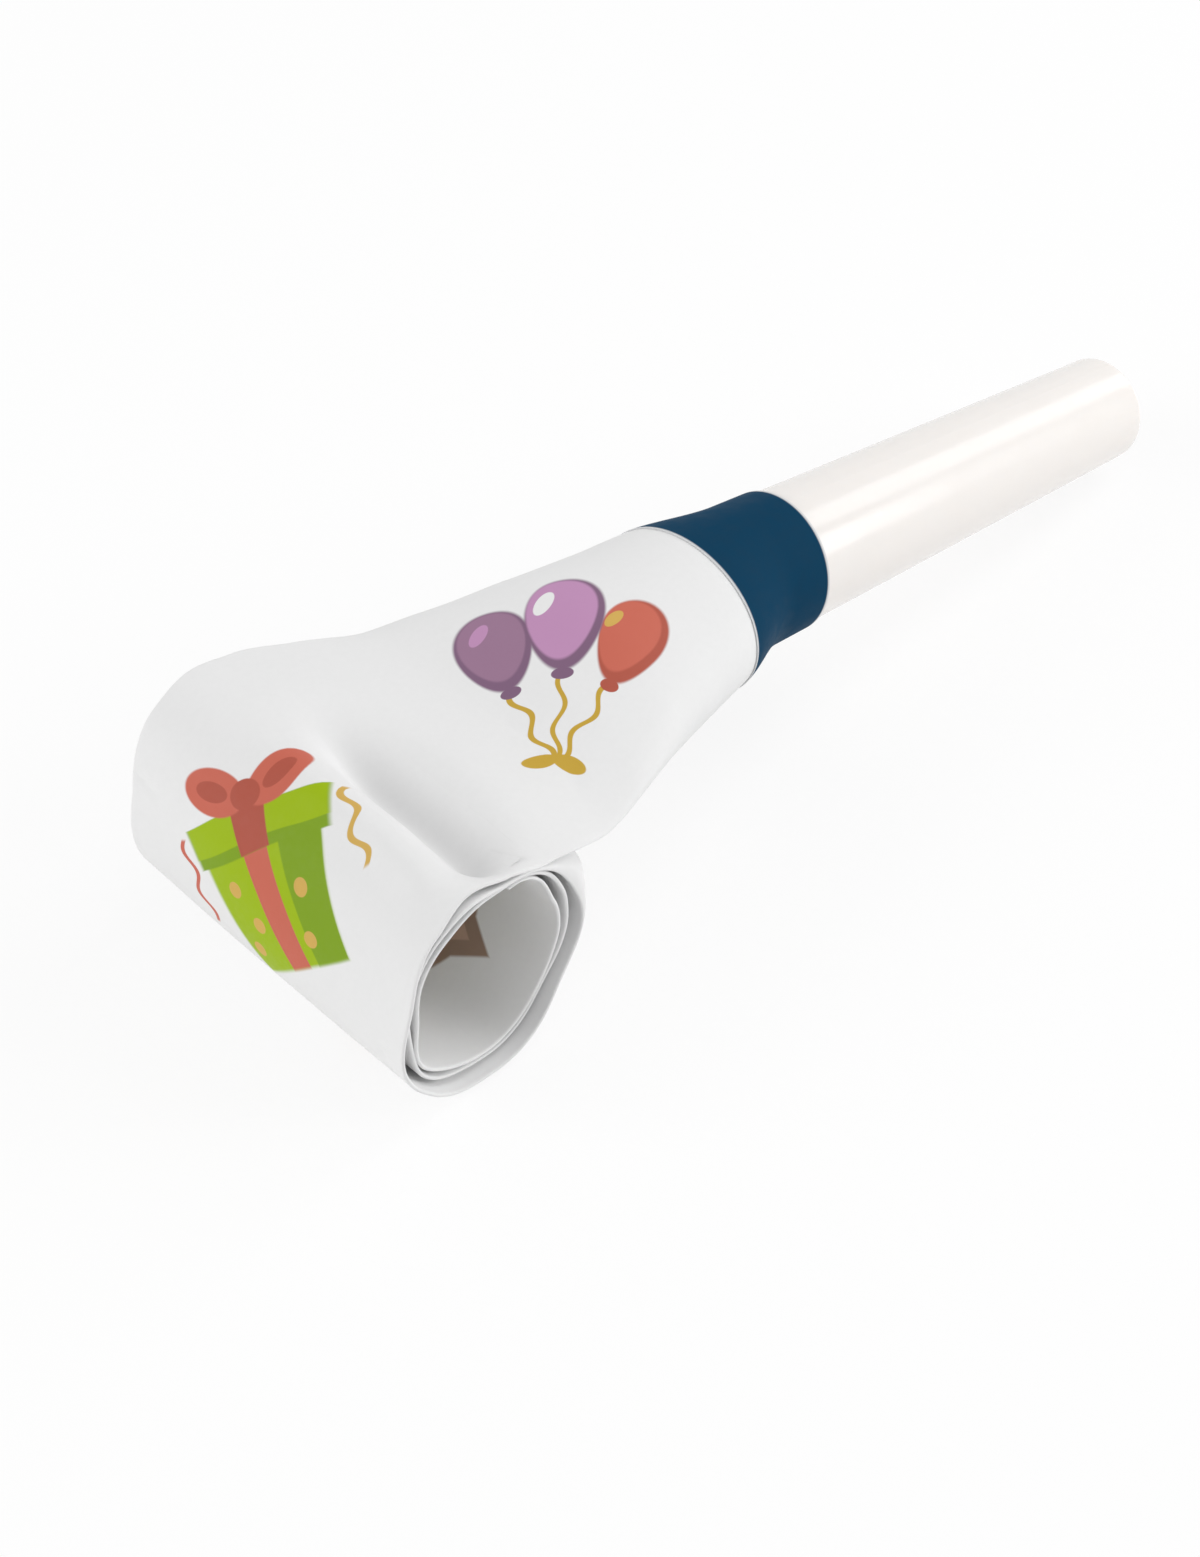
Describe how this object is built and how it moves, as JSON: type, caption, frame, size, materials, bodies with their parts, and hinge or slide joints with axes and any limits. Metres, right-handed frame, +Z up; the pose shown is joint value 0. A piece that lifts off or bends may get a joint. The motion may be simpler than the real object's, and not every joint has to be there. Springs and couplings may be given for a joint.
{
  "type": "party horn blower",
  "caption": "Party horn blower with a tapered reed mouthpiece, a paper neck under a collar band, and a flat paper tube in a spring roll that unrolls when blown.",
  "frame": {"origin": "under the middle of the object's box, on the table that the roll and the mouth end rest on", "axes": "+X from the mouth end towards the roll, +Z up, +Y across the paper strip"},
  "size_m": [0.1212, 0.037, 0.0257],
  "materials": {
    "mouthpiece": "translucent moulded polypropylene",
    "reed_holder": "moulded white plastic",
    "reed_tongue": "rolled thin strip",
    "collar_band": "printed dark blue",
    "paper": "printed coated paper",
    "spring_wire": "drawn spring wire"
  },
  "bodies": {
    "blower": {"mouthpiece": "mouthpiece", "reed_holder": "reed_holder", "reed_wedge": "reed_holder", "collar_band": "collar_band", "paper_neck": "paper", "spring_wire_root": "spring_wire"},
    "reed": {"reed_tongue": "reed_tongue"},
    "coil_01": {"paper_tube_01": "paper", "spring_wire_01": "spring_wire"},
    "coil_02": {"paper_tube_02": "paper", "spring_wire_02": "spring_wire"},
    "coil_03": {"paper_tube_03": "paper", "spring_wire_03": "spring_wire"},
    "coil_04": {"paper_tube_04": "paper", "spring_wire_04": "spring_wire"},
    "coil_05": {"paper_tube_05": "paper", "spring_wire_05": "spring_wire"},
    "coil_06": {"paper_tube_06": "paper", "spring_wire_06": "spring_wire"},
    "coil_07": {"paper_tube_07": "paper", "spring_wire_07": "spring_wire"},
    "coil_08": {"paper_tube_08": "paper", "spring_wire_08": "spring_wire"},
    "coil_09": {"paper_tube_09": "paper", "spring_wire_09": "spring_wire"},
    "coil_10": {"paper_tube_10": "paper", "spring_wire_10": "spring_wire"},
    "coil_11": {"paper_tube_11": "paper", "spring_wire_11": "spring_wire"},
    "coil_12": {"paper_tube_12": "paper", "spring_wire_12": "spring_wire"},
    "coil_13": {"paper_tube_13": "paper", "spring_wire_13": "spring_wire"},
    "coil_14": {"paper_tube_14": "paper", "spring_wire_14": "spring_wire"},
    "coil_15": {"paper_tube_15": "paper", "spring_wire_15": "spring_wire"},
    "coil_16": {"paper_tube_16": "paper", "spring_wire_16": "spring_wire"},
    "coil_17": {"paper_tube_17": "paper", "spring_wire_17": "spring_wire"},
    "coil_18": {"paper_tube_18": "paper", "spring_wire_18": "spring_wire"},
    "coil_19": {"paper_tube_19": "paper", "spring_wire_19": "spring_wire"},
    "coil_20": {"paper_tube_20": "paper", "spring_wire_20": "spring_wire"},
    "coil_21": {"paper_tube_21": "paper", "spring_wire_21": "spring_wire"},
    "coil_22": {"paper_tube_22": "paper", "spring_wire_22": "spring_wire"},
    "coil_23": {"paper_tube_23": "paper", "spring_wire_23": "spring_wire"},
    "coil_24": {"paper_tube_24": "paper", "spring_wire_24": "spring_wire"},
    "coil_25": {"paper_tube_25": "paper", "spring_wire_25": "spring_wire", "end_seal": "paper"}
  },
  "joints": [
    {"name": "reed_beat", "type": "hinge", "parent": "blower", "child": "reed", "pos_m": [-0.007, 0, 0.01485], "axis": [0, 1, 0], "range_deg": [-3.5, 2.5], "stiffness_Nm_per_rad": 0.00002},
    {"name": "unroll_01", "type": "hinge", "parent": "blower", "child": "coil_01", "pos_m": [0.04625, 0, 0.02387], "axis": [0, -1, 0], "range_deg": [0, 21.6], "stiffness_Nm_per_rad": 0.004, "springref_deg": -28.65},
    {"name": "unroll_02", "type": "hinge", "parent": "coil_01", "child": "coil_02", "pos_m": [0.05508, 0, 0.02209], "axis": [0, -1, 0], "range_deg": [0, 43.2]},
    {"name": "unroll_03", "type": "hinge", "parent": "coil_02", "child": "coil_03", "pos_m": [0.06025, 0, 0.01481], "axis": [0, -1, 0], "range_deg": [0, 43.2]},
    {"name": "unroll_04", "type": "hinge", "parent": "coil_03", "child": "coil_04", "pos_m": [0.05904, 0, 0.00606], "axis": [0, -1, 0], "range_deg": [0, 43.2]},
    {"name": "unroll_05", "type": "hinge", "parent": "coil_04", "child": "coil_05", "pos_m": [0.05224, 0, 0.00056], "axis": [0, -1, 0], "range_deg": [0, 43.2]},
    {"name": "unroll_06", "type": "hinge", "parent": "coil_05", "child": "coil_06", "pos_m": [0.04361, 0, 0.00119], "axis": [0, -1, 0], "range_deg": [0, 43.2]},
    {"name": "unroll_07", "type": "hinge", "parent": "coil_06", "child": "coil_07", "pos_m": [0.03781, 0, 0.00751], "axis": [0, -1, 0], "range_deg": [0, 43.2]},
    {"name": "unroll_08", "type": "hinge", "parent": "coil_07", "child": "coil_08", "pos_m": [0.0379, 0, 0.01599], "axis": [0, -1, 0], "range_deg": [0, 43.2]},
    {"name": "unroll_09", "type": "hinge", "parent": "coil_08", "child": "coil_09", "pos_m": [0.04372, 0, 0.02204], "axis": [0, -1, 0], "range_deg": [0, 43.2]},
    {"name": "unroll_10", "type": "hinge", "parent": "coil_09", "child": "coil_10", "pos_m": [0.05201, 0, 0.02247], "axis": [0, -1, 0], "range_deg": [0, 43.2]},
    {"name": "unroll_11", "type": "hinge", "parent": "coil_10", "child": "coil_11", "pos_m": [0.05828, 0, 0.01717], "axis": [0, -1, 0], "range_deg": [0, 43.2]},
    {"name": "unroll_12", "type": "hinge", "parent": "coil_11", "child": "coil_12", "pos_m": [0.05921, 0, 0.00909], "axis": [0, -1, 0], "range_deg": [0, 43.2]},
    {"name": "unroll_13", "type": "hinge", "parent": "coil_12", "child": "coil_13", "pos_m": [0.05442, 0, 0.00264], "axis": [0, -1, 0], "range_deg": [0, 43.2]},
    {"name": "unroll_14", "type": "hinge", "parent": "coil_13", "child": "coil_14", "pos_m": [0.04659, 0, 0.00123], "axis": [0, -1, 0], "range_deg": [0, 43.2]},
    {"name": "unroll_15", "type": "hinge", "parent": "coil_14", "child": "coil_15", "pos_m": [0.04, 0, 0.00552], "axis": [0, -1, 0], "range_deg": [0, 43.2]},
    {"name": "unroll_16", "type": "hinge", "parent": "coil_15", "child": "coil_16", "pos_m": [0.03815, 0, 0.01307], "axis": [0, -1, 0], "range_deg": [0, 43.2]},
    {"name": "unroll_17", "type": "hinge", "parent": "coil_16", "child": "coil_17", "pos_m": [0.04192, 0, 0.01977], "axis": [0, -1, 0], "range_deg": [0, 43.2]},
    {"name": "unroll_18", "type": "hinge", "parent": "coil_17", "child": "coil_18", "pos_m": [0.04917, 0, 0.02203], "axis": [0, -1, 0], "range_deg": [0, 43.2]},
    {"name": "unroll_19", "type": "hinge", "parent": "coil_18", "child": "coil_19", "pos_m": [0.05593, 0, 0.01876], "axis": [0, -1, 0], "range_deg": [0, 43.2]},
    {"name": "unroll_20", "type": "hinge", "parent": "coil_19", "child": "coil_20", "pos_m": [0.05859, 0, 0.01183], "axis": [0, -1, 0], "range_deg": [0, 43.2]},
    {"name": "unroll_21", "type": "hinge", "parent": "coil_20", "child": "coil_21", "pos_m": [0.05582, 0, 0.00505], "axis": [0, -1, 0], "range_deg": [0, 43.2]},
    {"name": "unroll_22", "type": "hinge", "parent": "coil_21", "child": "coil_22", "pos_m": [0.04923, 0, 0.00203], "axis": [0, -1, 0], "range_deg": [0, 43.2]},
    {"name": "unroll_23", "type": "hinge", "parent": "coil_22", "child": "coil_23", "pos_m": [0.04245, 0, 0.00432], "axis": [0, -1, 0], "range_deg": [0, 43.2]},
    {"name": "unroll_24", "type": "hinge", "parent": "coil_23", "child": "coil_24", "pos_m": [0.03911, 0, 0.01055], "axis": [0, -1, 0], "range_deg": [0, 43.2]},
    {"name": "unroll_25", "type": "hinge", "parent": "coil_24", "child": "coil_25", "pos_m": [0.04092, 0, 0.01729], "axis": [0, -1, 0], "range_deg": [0, 43.2]}
  ],
  "couplings": [
    {"joint": "unroll_02", "follows": "unroll_01", "ratio": 2},
    {"joint": "unroll_03", "follows": "unroll_01", "ratio": 2},
    {"joint": "unroll_04", "follows": "unroll_01", "ratio": 2},
    {"joint": "unroll_05", "follows": "unroll_01", "ratio": 2},
    {"joint": "unroll_06", "follows": "unroll_01", "ratio": 2},
    {"joint": "unroll_07", "follows": "unroll_01", "ratio": 2},
    {"joint": "unroll_08", "follows": "unroll_01", "ratio": 2},
    {"joint": "unroll_09", "follows": "unroll_01", "ratio": 2},
    {"joint": "unroll_10", "follows": "unroll_01", "ratio": 2},
    {"joint": "unroll_11", "follows": "unroll_01", "ratio": 2},
    {"joint": "unroll_12", "follows": "unroll_01", "ratio": 2},
    {"joint": "unroll_13", "follows": "unroll_01", "ratio": 2},
    {"joint": "unroll_14", "follows": "unroll_01", "ratio": 2},
    {"joint": "unroll_15", "follows": "unroll_01", "ratio": 2},
    {"joint": "unroll_16", "follows": "unroll_01", "ratio": 2},
    {"joint": "unroll_17", "follows": "unroll_01", "ratio": 2},
    {"joint": "unroll_18", "follows": "unroll_01", "ratio": 2},
    {"joint": "unroll_19", "follows": "unroll_01", "ratio": 2},
    {"joint": "unroll_20", "follows": "unroll_01", "ratio": 2},
    {"joint": "unroll_21", "follows": "unroll_01", "ratio": 2},
    {"joint": "unroll_22", "follows": "unroll_01", "ratio": 2},
    {"joint": "unroll_23", "follows": "unroll_01", "ratio": 2},
    {"joint": "unroll_24", "follows": "unroll_01", "ratio": 2},
    {"joint": "unroll_25", "follows": "unroll_01", "ratio": 2}
  ]
}
